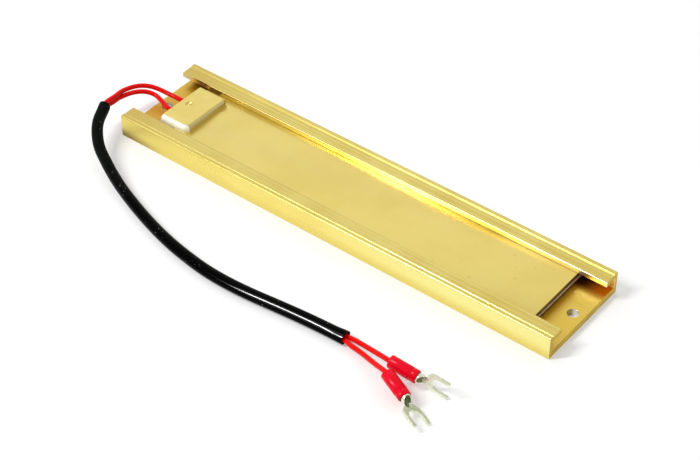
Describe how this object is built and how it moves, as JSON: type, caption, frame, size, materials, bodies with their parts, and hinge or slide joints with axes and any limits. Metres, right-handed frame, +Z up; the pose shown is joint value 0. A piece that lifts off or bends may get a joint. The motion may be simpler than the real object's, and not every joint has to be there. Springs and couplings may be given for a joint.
{
  "type": "braking resistor",
  "caption": "Flat braking resistor: a ribbon element under a plate in a gold lipped channel with end mounting holes, a pressed terminal cover and sleeved leads with fork terminals.",
  "frame": {"origin": "centre of the channel's underside, which rests on the mounting surface", "axes": "+Z up out of the channel's open side, +X along the channel away from the end the leads leave, +Y away from the side the leads lie on"},
  "size_m": [0.1931, 0.0919, 0.0124],
  "materials": {
    "gold_anodised": "satin gold anodised",
    "mica": "matt",
    "winding_board": "matt",
    "resistance_alloy": "satin",
    "tinned_metal": "satin tinned",
    "pressed_cover": "satin yellow passivated",
    "red_insulation": "satin",
    "black_sleeve": "satin",
    "crimson_collar": "gloss"
  },
  "bodies": {
    "root": {"channel": "gold_anodised", "lower_mica": "mica", "winding_card": "winding_board", "resistance_ribbon": "resistance_alloy", "upper_mica": "mica", "cover_plate": "gold_anodised", "terminal_tag_a": "tinned_metal", "terminal_tag_b": "tinned_metal", "tag_rivets": "tinned_metal", "terminal_cover": "pressed_cover", "lead_a": "red_insulation", "lead_b": "red_insulation", "tag_strands_a": "tinned_metal", "tag_strands_b": "tinned_metal", "lead_sleeve": "black_sleeve", "fork_a": "tinned_metal", "fork_b": "tinned_metal", "fork_collar_a": "crimson_collar", "fork_collar_b": "crimson_collar", "crimp_strands_a": "tinned_metal", "crimp_strands_b": "tinned_metal"}
  },
  "joints": []
}
